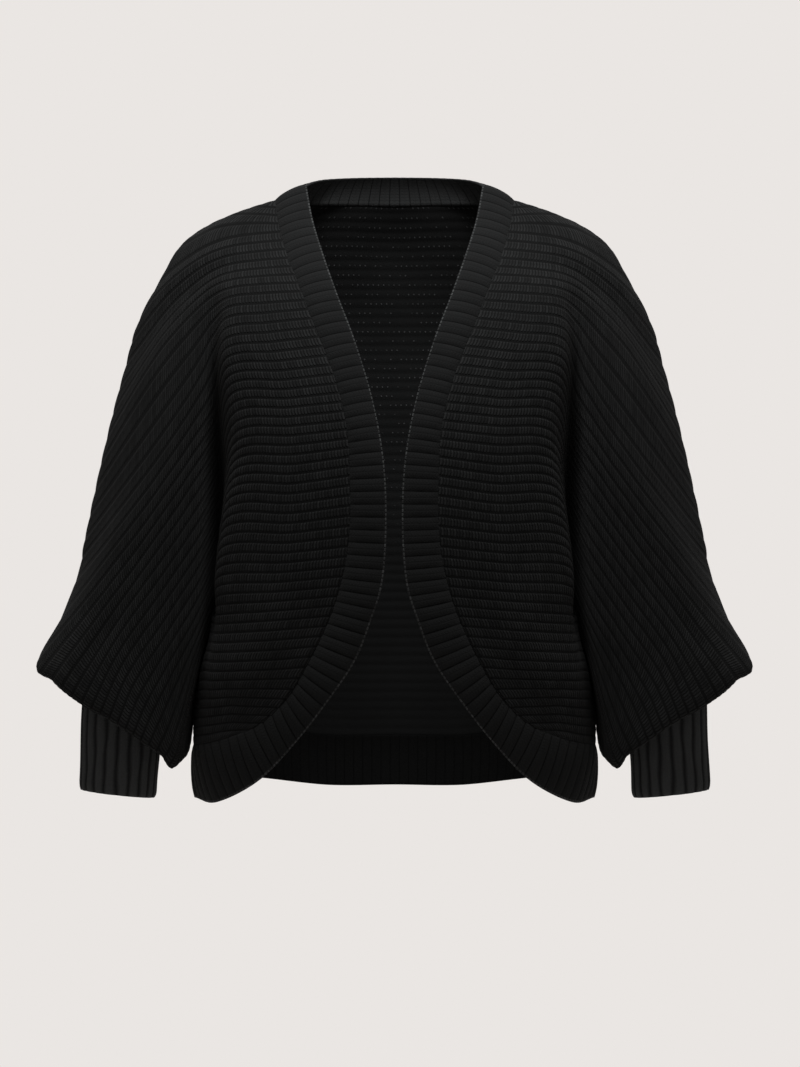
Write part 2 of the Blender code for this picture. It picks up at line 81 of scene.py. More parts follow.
# The cuffs
CUFF_X, CUFF_WIDTH, CUFF_DEPTH = 300.0, 84.0, 48.0
CUFF_END_OUTER, CUFF_END_INNER = -648.0, -657.0
CUFF_SEAM_OUTER, CUFF_SEAM_INNER = -532.0, -580.0
CUFF_TUCK = 4.0  # how far a cuff reaches up past its seam
CUFF_LEAN = 5.0  # how much further out a cuff's lower edge lies than its upper one
CUFF_RIBS = 20
CUFF_RIB_POWER = 0.8
CUFF_LEVELS = 36
CUFF_WAVER = 0.08  # how far the grooves wander, as a share of a rib
CUFF_SWELL, CUFF_SWELLS = 0.012, 7.0  # a wave in the width: its height, as a share, and its turn in all
CUFF_DRAW, CUFF_DRAWN = 0.04, 0.9  # how far the lower end draws in, and where that starts
# The ribs sink over 1 / CUFF_SINK of the length at both ends. Below, that is counted from CUFF_PAST beyond
# the end, so that some of each rib is left there.
CUFF_SINK, CUFF_PAST = 18.0, 0.03

# The bands
NECK_RIB_WIDTH = 10.8  # the front band's ribs are narrower behind the neck
BAND_RIB_WIDTH = 13.5
NECK_TO_FRONT = (0.9, 2.0)  # where the one width passes into the other, as a place in band_frame
BAND_RIB = 1.5
BAND_RIB_POWER = 0.4
BAND_WAVER = 0.02
BAND_GAP = 0.3
BAND_CROWN = 2.5  # how far the middle of a band stands out from its edges
# The ribs sink over 1 / BAND_SINK of the width at both edges, counted from BAND_PAST beyond them.
BAND_SINK, BAND_PAST = 4.5, 0.02
LIP = 3.0  # how far a band reaches behind the cloth that it is sewn to
LIP_DEPTHS = (0.4, 1.5)  # how far the faces of that lip lie behind the cloth
EDGE_SHARE = 0.04  # share of the front band's width that the thread along its free edge takes up
BAND_FACES = 14
BAND_ROWS = 8
BAND_TRIES, HEM_TRIES = 500, 400  # places along the front band and the hem band where they are measured
HEM_RIB_WIDTH = 10.5
HEM_HEIGHT = 54.0
HEM_CROWN = 2.5
HEM_TUCK = 3.0  # how far the hem band's lower edge turns in

# The stitches
STITCH = 3.3  # width of one stitch along a rib of the body
STITCH_SHIFT = 0.37  # how far a rib's stitches lie from the last rib's, as a share of a stitch
BAND_STITCH = 3.4  # length of one stitch along a rib of the bands and cuffs
BAND_WALES = 2.0  # columns of stitches on a rib of the bands and cuffs
LOOP_LEAN, STITCH_LEAN = 0.2, 0.5  # how far the body's loops and the band's stitches slant
PURL_STEP = 6.0  # from one bump to the next on the inside
PURL_ACROSS, PURL_ALONG = 4.2, 2.7  # half a rib and half a step, as multiples of half a bump
# Painted light: the bright bumps fade out downwards, so the inside is painted lighter towards the top
PURL_PAINTED_LIGHT_HEIGHTS = (-0.42, -0.2)  # in metres: the bumps are flat below the one and whole above the other
EDGE_LOOPS = 3.0  # bright loops along the front band's free edge, to a rib
BAND_RELIEF = 0.25  # depth of the bands' stitches, as a share of their material's

# Where a stitch or a groove starts and where it is whole, from 0 in the middle of a rib or stitch to 1 at
# its edge
# The last range on the next line marks where painted shade darkens the grooves of the body's ribs
BODY_ROW, BODY_LOOP, BODY_SHADED_GROOVE = (0.85, 0.6), (0.9, 0.3), (0.8, 0.97)
PURL_BUMP = (1.0, 0.15)
# The last range on the next line marks where painted shade darkens the grooves of the bands' ribs
BAND_LOOP, BAND_LEG, BAND_SHADED_GROOVE = (1.0, 0.5), (1.0, 0.6), (0.86, 0.97)
# Where painted shade starts and where it is whole in the grooves of the cuffs' ribs
CUFF_SHADED_GROOVE = (0.35, 1.0)
EDGE_LOOP = (1.0, 0.4)

# Tones, as multiples of a knit's shade
PLAIN_TONE = 0.75
LOOP_TONES = (-0.15, 0.9)  # what a sunk loop and a whole one add
LOOP_CHANCES = (0.5, 1.5)  # the least and the most that a loop shows
# Painted shade in the narrow grooves between the body's ribs
PAINTED_GROOVE_SHADE = 0.6
PURL_TONE = 6.0
PURL_CHANCES = (0.2, 0.7)  # bumps below the one chance are sunk, and bumps above the other are whole
BAND_TONES = (0.9, 1.0)  # between the stitches and on them
# Painted shade in the narrow grooves between the bands' ribs
PAINTED_BAND_GROOVE_SHADE = 0.2
# Painted shade: the cuffs' tone falls from the ribs into the grooves
CUFF_PAINTED_SHADE_TONES = (1.15, 0.35)  # on the ribs and in the grooves
EDGE_GAP_TONE = 0.35
EDGE_CHANCES = (0.6, 1.3)
FUZZ_TONES = (0.75, 1.25)
MOTTLE_TONES = (0.85, 1.15)

# The yarn. A noise has its scale in lumps per metre and its detail.
FUZZ_NOISE = (900.0, 3.0)
FUZZ = 0.5  # depth of the fuzz, as a share of the stitches'
MOTTLE_NOISE = (22.0, 2.0)
TINT = (0.96, 1.0, 1.01)  # the wool is a very slightly cool black
WOOL = {
    "Roughness": 0.95,
    "Specular IOR Level": 0.02,
    "Sheen Weight": 0.015,
    "Sheen Roughness": 0.6,
    "Sheen Tint": (0.6, 0.6, 0.6, 1.0),
}

# Each knit: its shade, where white is 1, and the depth of its stitches
KNITS = {
    "body_knit": (0.0026, 0.8),
    "body_knit_inside": (0.0032, 0.8),
    "band_knit": (0.0034, 0.7),
    # Painted light: the front band's inside, seen at the back of the neck, is the band's wool made far
    # lighter
    "neck_band_inside_painted_light": (0.013, 0.7),
    # Painted shade: the hem band's inside is the band's wool made darker
    "hem_band_inside_painted_shade": (0.0020, 0.7),
    # Painted light: the cuffs are the bands' wool made far lighter
    "cuff_knit": (0.0145, 0.7),
    "band_edge": (0.014, 0.9),
}

# The camera and the studio, in metres and watts
CAMERA_PLACE = (0.00605, -2.8, -0.3663)
VIEW_WIDTH = 0.88  # what the picture takes in at the depth of the origin
SENSOR = 36.0  # millimetres
# Each light: its name, its place, what it points at, its width and length, and its power
LIGHTS = [
    ("key", (0.0, -0.7, 2.2), (0, -0.05, -0.1), (1.4, 1.0), 118),
    ("front_fill", (0.0, -0.5, 0.6), (0, 0.1, -0.08), (0.3, 0.2), 15.5),
]
BACKDROP = (0.823, 0.791, 0.768, 1.0)
# Changes of the backdrop's light: axis, start and end of the change on it, change of strength
WORLD_FADES = [(2, -0.25, -0.6, -0.65), (2, 0.25, 0.7, 0.3), (1, -0.3, -0.8, -0.3)]
FLOOR_RADIUS, FLOOR_Z, FLOOR_CORNERS = 1.15, -1.25, 96
FLOOR_COLOUR, FLOOR_ROUGHNESS = (0.8, 0.77, 0.75, 1.0), 0.8

# Lines drawn down the left front, from the band's seam to the seam over the arm.
# Columns: rib, x, y, z where the line crosses that rib.
BAND_SEAM = [
    (0, 131.5, 4, 1), (4, 124, -26, -38), (7.5, 113, -55, -74), (10, 103, -73, -98), (14, 88, -96, -138),
    (20, 64, -120, -199), (25, 51, -131, -248), (30, 47, -135, -296), (40, 52, -131, -401),
    (45, 67, -127, -453), (50, 93, -121, -507), (53, 114, -113, -541), (55, 131, -104.5, -559),
    (57, 153, -93, -575), (58, 165, -86, -581),
]
CHEST = [
    (4, 148, -34, -41), (7.5, 143, -60, -77), (10, 140, -77, -100), (14, 134, -99, -143),
    (20, 115, -121, -205), (25, 106, -131, -254), (30, 104, -134, -304), (40, 115, -128, -407),
    (45, 129, -120, -458), (50, 150, -107, -511), (58, 184, -72, -587),
]
CREST = [
    (4, 172, -40, -45), (7.5, 174, -62, -81), (10, 176, -78, -104), (16, 178, -98, -170),
    (21, 171, -106, -218), (25, 166, -110, -258), (34, 177, -100, -349), (40, 188, -86, -413),
    (45, 189, -78, -463), (50, 196, -72, -514), (58, 200, -56, -592),
]
VALLEY = [
    (4, 188, -38, -49), (7.5, 191, -56, -86), (10, 193, -66, -110), (14, 194, -70, -170),
    (17, 193, -60, -228), (20, 192, -47, -269), (25, 190, -30, -338), (30, 191, -22, -405),
    (35, 193, -26, -440), (37, 192, -38, -440), (40, 191, -50, -445), (44, 191, -57, -456),
    (46, 195, -58, -474), (50, 204, -54, -514), (54, 207, -50, -555), (58, 209, -44, -594),
]
SLEEVE_FRONT = [
    (4, 206, -34, -56), (7.5, 208, -50, -96), (10, 211, -60, -124), (14, 211, -74, -204),
    (17, 209, -76, -256), (20, 209, -76, -303), (25, 209, -75, -385), (30, 210, -68, -462),
    (34, 212, -54, -504), (35, 211, -46, -506), (36, 207, -32, -491), (37, 202, -20, -472),
    (40, 199, -18, -462), (42, 198, -26, -459), (44, 197, -34, -456), (46, 199, -41, -474),
    (50, 210, -40, -516), (54, 213, -36, -556), (58, 215, -31, -595.5),
]
SLEEVE_RIDGE = [
    (4, 234, -22, -73), (7.5, 242, -36, -125), (10, 249, -50, -164), (14, 246, -72, -256),
    (18, 245, -80, -325), (20, 245, -80, -357), (25, 245, -78, -440), (30, 241, -74, -522),
    (35, 226, -46, -575), (37, 217, -20, -530), (40, 211, -6, -486), (42, 207, -10, -468),
    (44, 200, -18, -455), (46, 201, -24, -474), (50, 211, -23, -516), (54, 216, -21, -556),
    (58, 219, -19, -597),
]
SLEEVE_SIDE = [
    (4, 252, -9, -87), (7.5, 273, -22, -163), (10, 286, -34, -217), (14, 297, -50, -322),
    (18, 318, -60, -420), (20, 312, -68, -447), (25, 292, -76, -508), (30, 260, -75, -560),
    (35, 233, -44, -606), (37, 224, -12, -580), (40, 218, -2, -506), (42, 212, -3, -473),
    (44, 203, -7, -453), (46, 202, -9, -472), (50, 212, -9, -517), (54, 220, -8, -557),
    (58, 220, -7, -598),
]
OUTER_SEAM = [
    (0, 134.5, 5, 0), (1, 175, 5, -16), (2, 208, 5, -33), (3, 240, 5, -60), (4, 265, 5, -100),
    (7.5, 299, 5, -194), (10, 317, 5, -264), (14, 341, 5, -374), (16, 351, 5, -420), (17, 368, 5, -462),
    (18, 392, 5, -504), (20, 371, -38, -526), (23, 337, -62, -550), (26.5, 302, -72, -568),
    (30, 273, -72, -588), (33, 250, -60, -606), (35, 239, -40, -620), (36, 229.5, -16, -610),
    (37, 224, 5, -591), (38.5, 223.5, 5, -550), (40, 221, 5, -515), (42, 215, 5, -476),
    (44, 206, 5, -452), (46, 202, 5, -470), (50, 212, 5, -517), (54, 220.5, 5, -557), (58, 221, 5, -598),
]
FRONT_LINES = [BAND_SEAM, CHEST, CREST, VALLEY, SLEEVE_FRONT, SLEEVE_RIDGE, SLEEVE_SIDE, OUTER_SEAM]
FRONT_SPANS = [9, 8, 8, 8, 7, 7, 10]  # columns of faces between one line and the next
OUTER_LINE = len(FRONT_LINES) - 1

# The back has two lines of its own. Its others are the front's, turned over to the far side.
CENTRE_BACK = [
    (0, 0, 85, 8), (4, 0, 106, -34), (10, 0, 119, -98), (25, 0, 126, -256), (40, 0, 128, -413),
    (58, 0, 135, -601),
]
SHOULDER_BLADE = [
    (0, 50, 79, 8), (4, 72, 92, -34), (10, 70, 114, -98), (25, 58, 128, -256), (40, 60, 130, -412),
    (58, 75, 130, -601),
]
BACK_NECK = [(88, 59, 6), (110, 40, 5), (120, 28, 4), (127, 18, 3), (131, 11, 2), (132, 7.5, 1.2)]

# How far back the back lies at its first ribs, where it is fuller than the front.
# Columns: rib, then y on each line from the chest's to the sleeve's side.
BACK_YOKE = [(4, 72, 66, 60, 51, 35, 20), (7.5, 90, 82, 74, 66, 48, 33), (10, 99, 92, 79, 73, 60, 44)]
BACK_SPANS = [9, 8, 8, 7, 7, 7, 7, 9]

# The front band, from the middle of the back of the neck to the left side seam.
# Columns: the rib and line of the panel where the band is sewn on, then x, y, z of its free edge.
NECK_BAND = [
    (0, 0, 0, 70, 35), (0, 1, 40, 66, 34), (0, 2, 69, 53, 31), (0, 3, 85, 33, 26.3), (0, 5, 94, 16, 20.5),
    (0, 6.6, 97, 5, 17),
]
FRONT_BAND = [
    (0, 0, 97, 5, 17), (3.6, 0, 89, -26, -24), (8, 0, 76, -62, -67), (12.3, 0, 60, -90, -113),
    (17, 0, 42, -110, -161), (23.2, 0, 23, -126, -224), (29.6, 0, 11, -136, -289),
    (35.4, 0, 8, -137, -353), (41, 0, 12, -134, -416), (44.4, 0, 24, -131, -457),
    (47.9, 0, 41, -126, -500), (50.8, 0, 67, -121, -539), (54, 0, 103, -108, -586),
    (58, 0, 145, -86, -630), (58, 3, 192, -45, -657), (58, 7, 220, 5, -657),
]

# Creases in the body, on the wearer's left where x is above 0. Both sides have much the same ones.
# Columns: x, z of the middle, degrees from upright, half length, half width, depth. A trough's is below 0.
FRONT_CREASES = [
    (192, -128, 20, 30, 12, -1.6), (-190, -134, 18, 34, 13, -1.8), (228, -300, 4, 90, 9, -2.5),
    (-226, -322, 3, 78, 10, -2.2), (268, -392, 12, 70, 13, -3.0), (-272, -376, 14, 82, 12, -2.6),
    (318, -470, 38, 46, 9, -2.4), (-314, -478, 34, 40, 10, -2.8), (250, -520, 12, 48, 9, -2.6),
    (-254, -512, 16, 56, 8, -2.2), (128, -470, -24, 60, 17, 1.6), (-124, -478, -20, 66, 15, 1.8),
    (150, -330, -6, 90, 14, -1.6), (-152, -316, -4, 84, 15, -1.4), (96, -250, 10, 80, 18, 1.4),
    (-98, -262, 12, 72, 17, 1.2), (176, -540, -10, 40, 9, -2.0), (-174, -548, -8, 36, 9, -2.2),
]
BACK_CREASES = [
    (70, -300, 4, 150, 22, -3.0), (-62, -340, -3, 130, 20, -3.4), (18, -470, 8, 90, 20, 2.2),
    (-24, -200, -6, 90, 22, 2.0), (190, -136, 20, 34, 12, -1.6), (-192, -130, 22, 32, 11, -1.5),
    (232, -320, 5, 84, 10, -2.5), (-228, -300, 4, 90, 9, -2.4), (270, -400, 14, 70, 13, -2.8),
    (-266, -410, 11, 66, 12, -3.0), (320, -474, 36, 42, 10, -2.6), (-318, -466, 40, 44, 9, -2.2),
    (140, -520, 14, 60, 15, -2.4), (-150, -500, 18, 70, 14, -2.0), (110, -130, -30, 50, 16, -1.8),
    (-104, -140, -28, 54, 15, -1.6),
]


def through(keys, points, at):
    """The place at each value of at on a smooth curve through points, which lie at the values in keys."""
    keys = np.asarray(keys, float)
    points = np.asarray(points, float)
    at = np.asarray(at, float)
    slopes = np.diff(points, axis=0) / np.diff(keys)[:, None]
    before, after = np.diff(keys)[:-1, None], np.diff(keys)[1:, None]
    inner = (slopes[:-1] * after + slopes[1:] * before) / (before + after)
    tangents = np.vstack([slopes[:1], inner, slopes[-1:]])
    k = np.clip(np.searchsorted(keys, at, side="right") - 1, 0, len(keys) - 2)
    width = (keys[k + 1] - keys[k])[:, None]
    t = (at - keys[k])[:, None] / width
    start = (1 + 2 * t) * (1 - t) ** 2 * points[k] + t * (1 - t) ** 2 * width * tangents[k]
    end = t * t * (3 - 2 * t) * points[k + 1] + t * t * (t - 1) * width * tangents[k + 1]
    return start + end


def on_line(table, rib):
    """The place where a line crosses a rib."""
    table = np.asarray(table, float)
    return through(table[:, 0], table[:, 1:], [rib])[0]


def turned_over(point):
    """The point's mirror image on the far side of the plane of the side seams."""
    return np.array([point[0], 2 * SIDE_Y - point[1], point[2]])


def lengths(vectors):
    return np.linalg.norm(vectors, axis=-1, keepdims=True)


def unit(vectors):
    return vectors / np.maximum(lengths(vectors), TINY)


def between(start, end, share):
    return np.array(start) + (np.array(end) - start) * share


def shoulder_bow(rib):
    """How far the seam over the shoulder stands out from a straight line between the neck and the yoke."""
    if rib >= YOKE_RIB:
        return np.zeros(3)
    ends = on_line(OUTER_SEAM, 0), on_line(OUTER_SEAM, YOKE_RIB)
    return on_line(OUTER_SEAM, rib) - between(*ends, rib / YOKE_RIB)


def curve(points, at):
    """The place at each value of at on a smooth curve through points, which are numbered from 0."""
    points = np.array(points)
    steps = np.maximum(np.linalg.norm(np.diff(points, axis=0), axis=1), 0.1) ** 0.5
    keys = np.concatenate([[0], np.cumsum(steps)])
    return through(keys, points, np.interp(at, np.arange(len(keys)), keys))


class Panel:
    """A front or the left half of the back, as a surface crossed by ribs and by the lines drawn down it."""

    def __init__(self, back):
        self.back = back
        self.spans = BACK_SPANS if back else FRONT_SPANS
        self.lines = len(self.spans) + 1

    def stations(self, rib):
        """Where each line crosses one rib, with the sleeve's turned-under end where the rib has one."""
        places = []
        for number, table in enumerate(FRONT_LINES):
            if number in (0, OUTER_LINE):
                places.append(on_line(table, rib))
                continue
            if self.back:
                fuller = zip(BACK_YOKE, table)
                yoke = [(r, x, 2 * SIDE_Y - full[number], z) for full, (r, x, _, z) in fuller]
                table = [(0, *turned_over(BACK_NECK[number - 1]))] + yoke + table[len(yoke) :]
            else:
                table = [(0, *between(BAND_SEAM[0][1:], OUTER_SEAM[0][1:], number / OUTER_LINE))] + table
            places.append(on_line(table, rib) + shoulder_bow(rib) * number / OUTER_LINE)
        if self.back:
            places = [turned_over(p) for p in places[1:]]
            places = [on_line(CENTRE_BACK, rib), on_line(SHOULDER_BLADE, rib)] + places
        if TIP_RIB <= rib <= NOTCH_RIB:
            seam = self.cuff_seam(rib)
            places += [(places[-1] + seam) / 2 + (0, 0, UNDER_RISE), seam]
        return np.array(places)

    def cuff_seam(self, rib):
        """The place where a rib of the sleeve's turned-under end meets the cuff."""
        share = (rib - TIP_RIB) / (NOTCH_RIB - TIP_RIB)
        side = 1 if self.back else -1
        angle = np.pi * share
        x = CUFF_X + (CUFF_WIDTH / 2 + SEAM_GAP) * np.cos(angle)
        y = SIDE_Y + side * (CUFF_DEPTH / 2 + SEAM_GAP) * np.sin(angle)
        return np.array([x, y, CUFF_SEAM_OUTER + (CUFF_SEAM_INNER - CUFF_SEAM_OUTER) * share])

    def row(self, rib, columns):
        """Places along one rib. A column is a line's number, or a share of the way to the next line."""
        places = self.stations(rib)
        columns = np.asarray(columns, float)
        side, over = self.lines - 2, turned_over(places[self.lines - 2])
        first = places[1] * (-1, 1, 1) if self.back else 2 * places[0] - places[1]
        if len(places) == self.lines:
            return curve([first, *places, over], columns + 1)
        # The fold at the sleeve's end is sharp in its middle and opens out into the seams at both ends.
        fold = np.clip(min(rib - TIP_RIB, NOTCH_RIB - rib) / FOLD_RIBS, 0, 1)
        beyond = over + (places[self.lines] - over) * fold
        before = turned_over(places[self.lines])
        before = before + (places[side] - before) * fold
        upper = curve([first, *places[: self.lines], beyond], columns + 1)
        under = curve([before, *places[self.lines - 1 :]], columns - side)
        return np.where(columns[:, None] <= self.lines - 1, upper, under)

    def surface(self, rib, columns):
        """Places along one rib, and the direction out of the cloth at each."""
        step = 0.05
        columns = np.asarray(columns, float)
        folded = TIP_RIB <= rib <= NOTCH_RIB
        last = self.lines + 1 if folded else self.lines - 1
        if folded:
            low, high = TIP_RIB, NOTCH_RIB
        else:
            low, high = (0, TIP_RIB - JUST) if rib < TIP_RIB else (NOTCH_RIB + JUST, LAST_RIB)
        across = self.row(rib, np.minimum(columns + step, last + (not folded) * step))
        across = across - self.row(rib, np.maximum(columns - step, -step if self.back else 0))
        down = self.row(min(rib + step, high), columns) - self.row(max(rib - step, low), columns)
        out = unit(np.cross(across, down) if self.back else np.cross(down, across))
        if folded:
            out[columns >= last] = (0, 0, -1)
        if rib == LAST_RIB:
            out[:, 2] = 0
        if not TIP_RIB < rib < NOTCH_RIB:
            sewn = columns >= self.lines - 1 if rib in (TIP_RIB, NOTCH_RIB) else columns == self.lines - 1
            out[sewn, 1] = 0
        return self.row(rib, columns), unit(out)

    def columns(self):
        """The columns of the fine mesh, as numbers of lines and shares of the way between them."""
        result = [0.0]
        for line, spans in enumerate(self.spans):
            result += [line + (i + 1) / spans for i in range(spans)]
        return np.array(result)


def waver(along, rib, size):
    """A slow unevenness that differs from rib to rib."""
    long_wave = np.sin(along / LONG_WAVE + rib * LONG_SHIFT)
    short_wave = np.sin(along / SHORT_WAVE + rib * SHORT_SHIFT)
    return size * (long_wave + SHORT_SHARE * short_wave) / (1 + SHORT_SHARE)


def ridge(share, power):
    """The height of a rib, from 0 in the groove to 1, at a share of the way across it."""
    return np.abs(np.sin(np.pi * share)) ** power


def creased(places, outs, creases):
    """The places, moved along the directions out by the soft troughs and ridges in a table."""
    move = np.zeros(places.shape[:2])
    for x, z, tilt, half_length, half_width, depth in creases:
        turn = np.radians(tilt) * np.sign(x)
        dx, dz = places[..., 0] - x, places[..., 2] - z
        along = dz * np.cos(turn) - dx * np.sin(turn)
        across = dx * np.cos(turn) + dz * np.sin(turn)
        move += depth * np.exp(-((along / half_length) ** 2) - (across / half_width) ** 2)
    return places + outs * move[..., None]


def rim_faces(quads, maps, count):
    """The faces that join the open edges of one side to those of the other, count further on, and their
    maps."""
    edges = np.stack([quads, np.roll(quads, -1, axis=1)], axis=2).reshape(-1, 2)
    edge_maps = np.stack([maps, np.roll(maps, -1, axis=1)], axis=2).reshape(-1, 2, 2)
    key = np.sort(edges, axis=1) @ (count, 1)
    _, first, uses = np.unique(key, return_index=True, return_counts=True)
    rim = first[uses == 1]
    a, b = edges[rim].T
    return np.stack([b, a, a + count, b + count], axis=1), edge_maps[rim][:, [1, 0, 0, 1]]


def make_shell(name, outer, inner, outs, u, v, materials, closed=False):
    """A thin closed shell between two grids of places, with its stitches counted in the map of the mesh.

    u has a row for each row of faces and v has one value for each row of places. A place that isn't a
    number is left out. A closed grid joins its last row to its first. The materials are those of the
    outside, of the inside and, where there is a third, of the outside's last column.
    """
    rows, columns = outer.shape[:2]
    there = ~np.isnan(outer[..., 0])
    number = np.cumsum(there).reshape(there.shape) - 1
    count = int(there.sum())
    if closed:
        number = np.vstack([number, number[:1]])
        there = np.vstack([there, there[:1]])
    i, j = np.nonzero(there[:-1, :-1] & there[1:, :-1] & there[:-1, 1:] & there[1:, 1:])
    quads = np.stack([number[i, j], number[i, j + 1], number[i + 1, j + 1], number[i + 1, j]], axis=1)
    maps = np.stack([u[i, j], v[i], u[i, j + 1], v[i], u[i, j + 1], v[i + 1], u[i, j], v[i + 1]], axis=1)
    maps = maps.reshape(-1, 4, 2)
    flat = outer[there[:rows]]
    normal = np.cross(flat[quads[:, 1]] - flat[quads[:, 0]], flat[quads[:, 3]] - flat[quads[:, 0]])
    if np.sum(normal * outs[there[:rows]][quads[:, 0]]) < 0:
        quads, maps = quads[:, ::-1], maps[:, ::-1]

    rim_quads, rim_maps = rim_faces(quads, maps, count)
    faces = np.vstack([quads, quads[:, ::-1] + count, rim_quads])
    all_maps = np.vstack([maps, maps[:, ::-1], rim_maps])
    places = np.vstack([flat, inner[there[:rows]]]) * MM
    mesh = bpy.data.meshes.new(name)
    mesh.from_pydata(places.tolist(), [], faces.tolist())
    layer = mesh.uv_layers.new(name="stitches")
    layer.data.foreach_set("uv", all_maps.astype(np.float32).ravel())
    slots = np.zeros(len(faces), np.int32)
    slots[len(quads) : 2 * len(quads)] = 1
    if len(materials) > 2:
        slots[np.nonzero(j == columns - 2)[0]] = 2
    for material in materials:
        mesh.materials.append(material)
    mesh.polygons.foreach_set("material_index", slots)
    mesh.shade_smooth()
    mesh.update()
    piece = bpy.data.objects.new(name, mesh)
    bpy.context.scene.collection.objects.link(piece)
    return piece


def panel_grids(panel):
    """Places and directions out of a panel, for each row and column of the fine mesh."""
    ribs = np.arange(LAST_RIB * ROWS + 1) / ROWS
    columns = panel.columns()
    under = panel.lines - 1 + np.arange(1, UNDER_FACES + 1) * 2 / UNDER_FACES
    everything = np.concatenate([columns, under])
    places = np.full((len(ribs), len(everything), 3), np.nan)
    outs = places.copy()
    for i, rib in enumerate(ribs):
        across = everything if TIP_RIB <= rib <= NOTCH_RIB else columns
        places[i, : len(across)], outs[i, : len(across)] = panel.surface(rib, across)
    return ribs, places, outs


def arc(places):
    """The length walked along each row of places, which may end in places that aren't numbers."""
    steps = np.nan_to_num(lengths(np.diff(places, axis=1))[..., 0])
    return np.concatenate([np.zeros((len(places), 1)), np.cumsum(steps, axis=1)], axis=1)


def walked_along(panel, places):
    """The length walked along each rib from the front band, or from the centre of the back."""
    along = arc(places)
    return along - along[:, places.shape[1] // 2, None] if panel.back else along


def ribbed(panel, ribs, places, outs):
    """The outside and the inside of a panel, with ribs that are flatter where they lie close."""
    along = walked_along(panel, places)
    down = np.gradient(places, axis=0) * ROWS
    across = unit(np.gradient(places, axis=1))
    down = down - across * np.sum(down * across, axis=-1, keepdims=True)
    width = np.nan_to_num(lengths(down), nan=OPEN_RIB)
    openness = np.clip(width / OPEN_RIB, FLATTEST, 1)
    spread = np.clip((width[..., 0] - SPREAD_RIBS[0]) / (SPREAD_RIBS[1] - SPREAD_RIBS[0]), 0, 1)
    number = np.floor(ribs)[:, None]
    share = ribs[:, None] + waver(along, number, GROOVE_WAVER)
    bold = 1 + waver(along, number + HEIGHT_SHIFT, HEIGHT_WAVER)
    profile = between(ridge(share, BODY_RIB_POWER), FINE_RIB * ridge(2 * share, BODY_RIB_POWER), spread)
    outer = places + outs * openness * (BODY_RIB * bold * profile)[..., None]
    inner = places - outs * openness * (INNER_RIB * ridge(share, 1))[..., None] - outs * KNIT_WALL
    # The cloth ends short of the seams' plane, which slants through the wall so that no light shows.
    for grid, lean in ((outer, SEAM_LEAN), (inner, -SEAM_LEAN)):
        y = grid[..., 1]
        y += lean * np.clip(1 - abs(y - SIDE_Y) / SEAM_REACH, 0, 1)
        if panel.back:
            y[...] = np.maximum(y, SIDE_Y + lean + SEAM_GAP / 2)
        else:
            y[...] = np.minimum(y, SIDE_Y + lean - SEAM_GAP / 2)
    return outer, inner


def make_panel(name, panel, creases, materials, side=1):
    """A front, or the whole back."""
    ribs, places, outs = panel_grids(panel)
    if panel.back:
        places, outs = (np.concatenate([g[:, :0:-1] * MIRROR, g], axis=1) for g in (places, outs))
    else:
        places, outs = places * (side, 1, 1), outs * (side, 1, 1)
    places = creased(places, outs, creases)
    outer, inner = ribbed(panel, ribs, places, outs)
    middles = np.arange(LAST_RIB) * ROWS + ROWS // 2
    u = walked_along(panel, places)[middles] / STITCH + np.arange(LAST_RIB)[:, None] * STITCH_SHIFT
    return make_shell(name, outer, inner, outs, np.repeat(u, ROWS, axis=0), ribs, materials)


def band_frame(front, back, place):
    """The seam, the direction out of the cloth there and the free edge, at a place from 0 at the middle of
    the back of the neck to 1 at the neck's side, and on to 1 + the number of stretches down the front."""
    neck = np.array(NECK_BAND, float)
    down = np.array(FRONT_BAND, float)
    if place < 1:
        row = through(np.arange(len(neck)), neck, [place * (len(neck) - 1)])[0]
        panel, rib = back, 0.0
    else:
        row = through(np.arange(len(down)), down, [place - 1])[0]
        panel, rib = front, min(max(row[0], 0), LAST_RIB)
    seam, out = panel.surface(rib, [min(max(row[1], 0), OUTER_LINE)])
    return seam[0], out[0], row[2:]


def band_places(front, back):
    """Places along the middle of half the front band, BAND_ROWS to a rib."""
    tries = np.linspace(0, len(FRONT_BAND), BAND_TRIES)
    middles = np.array([(f[0] + f[2]) / 2 for f in (band_frame(front, back, t) for t in tries)])
    widths = np.interp(tries[1:], NECK_TO_FRONT, (NECK_RIB_WIDTH, BAND_RIB_WIDTH))
    counted = np.concatenate([[0], np.cumsum(lengths(np.diff(middles, axis=0))[:, 0] / widths)])
    return np.interp(np.linspace(0, counted[-1], BAND_ROWS * round(counted[-1]) + 1), counted, tries)


def both_halves(grid):
    """A grid whose first row is in the middle of the cardigan, with its mirror image before it."""
    return np.concatenate([grid[:0:-1] * MIRROR, grid])


def make_ribbing(name, base, outs, crown, materials):
    """A band from one half of its grid. Its ribs run across it, from column 0 to the last."""
    count = len(base) - 1
    base, outs = both_halves(base), both_halves(outs)
    number = np.arange(-count, count + 1) / BAND_ROWS + 0.5
    across = lengths(base[count] - base[count, 0])[:, 0]
    across /= across[-1]
    walked = arc(base)
    bulge = crown * 4 * across * (1 - across)
    sink = np.minimum(1, BAND_SINK * np.minimum(across + BAND_PAST, 1 + BAND_PAST - across)) ** 0.5
    share = number[:, None] + waver(walked, np.floor(number)[:, None], BAND_WAVER)
    height = BAND_RIB * ridge(share, BAND_RIB_POWER) * sink
    outer = base + outs * (bulge + height)[..., None]
    inner = base + outs * (bulge - KNIT_WALL)[..., None]
    lip = base[:, :1] - unit(base[:, 1:2] - base[:, :1]) * LIP - outs[:, :1] * KNIT_WALL
    outer = np.hstack([lip - outs[:, :1] * LIP_DEPTHS[0], outer])
    inner = np.hstack([lip - outs[:, :1] * LIP_DEPTHS[1], inner])
    outs = np.hstack([outs[:, :1], outs])
    u = np.hstack([walked[:, :1] - LIP, walked])
    u = (u[1:] + u[:-1]) / 2 / BAND_STITCH
    return make_shell(name, outer, inner, outs, u, number, materials)


